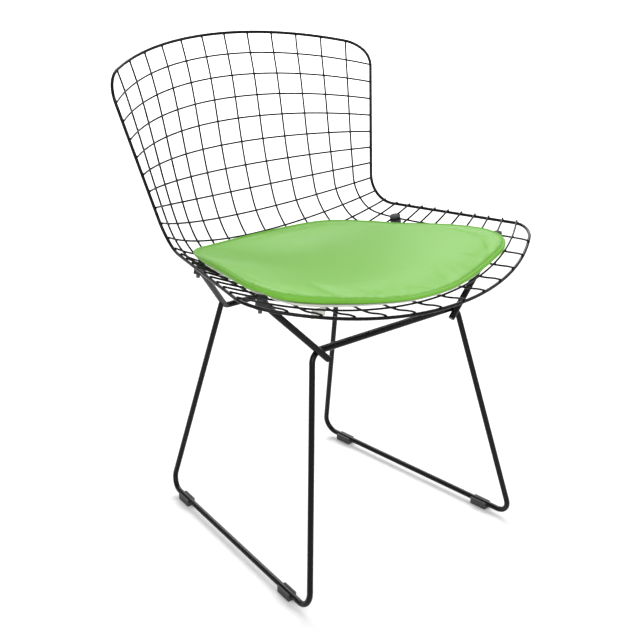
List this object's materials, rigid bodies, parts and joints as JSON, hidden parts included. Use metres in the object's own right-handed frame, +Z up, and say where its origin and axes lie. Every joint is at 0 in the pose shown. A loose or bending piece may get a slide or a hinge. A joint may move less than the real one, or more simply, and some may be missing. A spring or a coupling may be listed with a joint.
{
  "type": "dining chair",
  "caption": "Dining chair with a one-piece welded wire mesh shell on two bent rod sleds, plastic floor glides and a loose vinyl seat pad.",
  "frame": {"origin": "on the floor, under the middle of the overall width and depth", "axes": "+Z up, +Y from the front of the seat to the back, +X towards the right of someone who looks along +Y"},
  "size_m": [0.5448, 0.5799, 0.7565],
  "materials": {
    "black_wire": "satin black coating",
    "black_rod": "satin black coating",
    "glide_plastic": "matt dark grey",
    "mount_plastic": "matt black",
    "screw_steel": "blackened steel",
    "pad_vinyl": "smooth satin vinyl",
    "pad_cloth": "off-white felt and cloth"
  },
  "bodies": {
    "chair": {"crosswise_wire_01": "black_wire", "crosswise_wire_02": "black_wire", "crosswise_wire_03": "black_wire", "crosswise_wire_04": "black_wire", "crosswise_wire_05": "black_wire", "crosswise_wire_06": "black_wire", "crosswise_wire_07": "black_wire", "crosswise_wire_08": "black_wire", "crosswise_wire_09": "black_wire", "crosswise_wire_10": "black_wire", "crosswise_wire_11": "black_wire", "crosswise_wire_12": "black_wire", "crosswise_wire_13": "black_wire", "crosswise_wire_14": "black_wire", "crosswise_wire_15": "black_wire", "crosswise_wire_16": "black_wire", "crosswise_wire_17": "black_wire", "crosswise_wire_18": "black_wire", "crosswise_wire_19": "black_wire", "crosswise_wire_20": "black_wire", "front_brace_bar": "black_rod", "front_crossbar": "black_rod", "glide_front_left": "glide_plastic", "glide_front_right": "glide_plastic", "glide_rear_left": "glide_plastic", "glide_rear_right": "glide_plastic", "left_front_arm": "black_rod", "left_sled": "black_rod", "lengthwise_wire_01": "black_wire", "lengthwise_wire_02": "black_wire", "lengthwise_wire_03": "black_wire", "lengthwise_wire_04": "black_wire", "lengthwise_wire_05": "black_wire", "lengthwise_wire_06": "black_wire", "lengthwise_wire_07": "black_wire", "lengthwise_wire_08": "black_wire", "lengthwise_wire_09": "black_wire", "lengthwise_wire_10": "black_wire", "lengthwise_wire_11": "black_wire", "lengthwise_wire_12": "black_wire", "mount_base_front_left": "mount_plastic", "mount_base_front_right": "mount_plastic", "mount_base_rear_left": "mount_plastic", "mount_base_rear_right": "mount_plastic", "mount_cap_front_left": "mount_plastic", "mount_cap_front_right": "mount_plastic", "mount_cap_rear_left": "mount_plastic", "mount_cap_rear_right": "mount_plastic", "mount_screw_front_left": "screw_steel", "mount_screw_front_right": "screw_steel", "mount_screw_rear_left": "screw_steel", "mount_screw_rear_right": "screw_steel", "rear_support_rod": "black_rod", "right_front_arm": "black_rod", "right_sled": "black_rod", "rim_wire": "black_wire"},
    "pad": {"seat_pad": "pad_vinyl", "pad_lining": "pad_cloth", "pad_strap": "pad_cloth"}
  },
  "joints": [
    {"name": "pad_lift", "type": "slide", "parent": "chair", "child": "pad", "axis": [0, 0, 1], "range_m": [0, 0.4]}
  ]
}
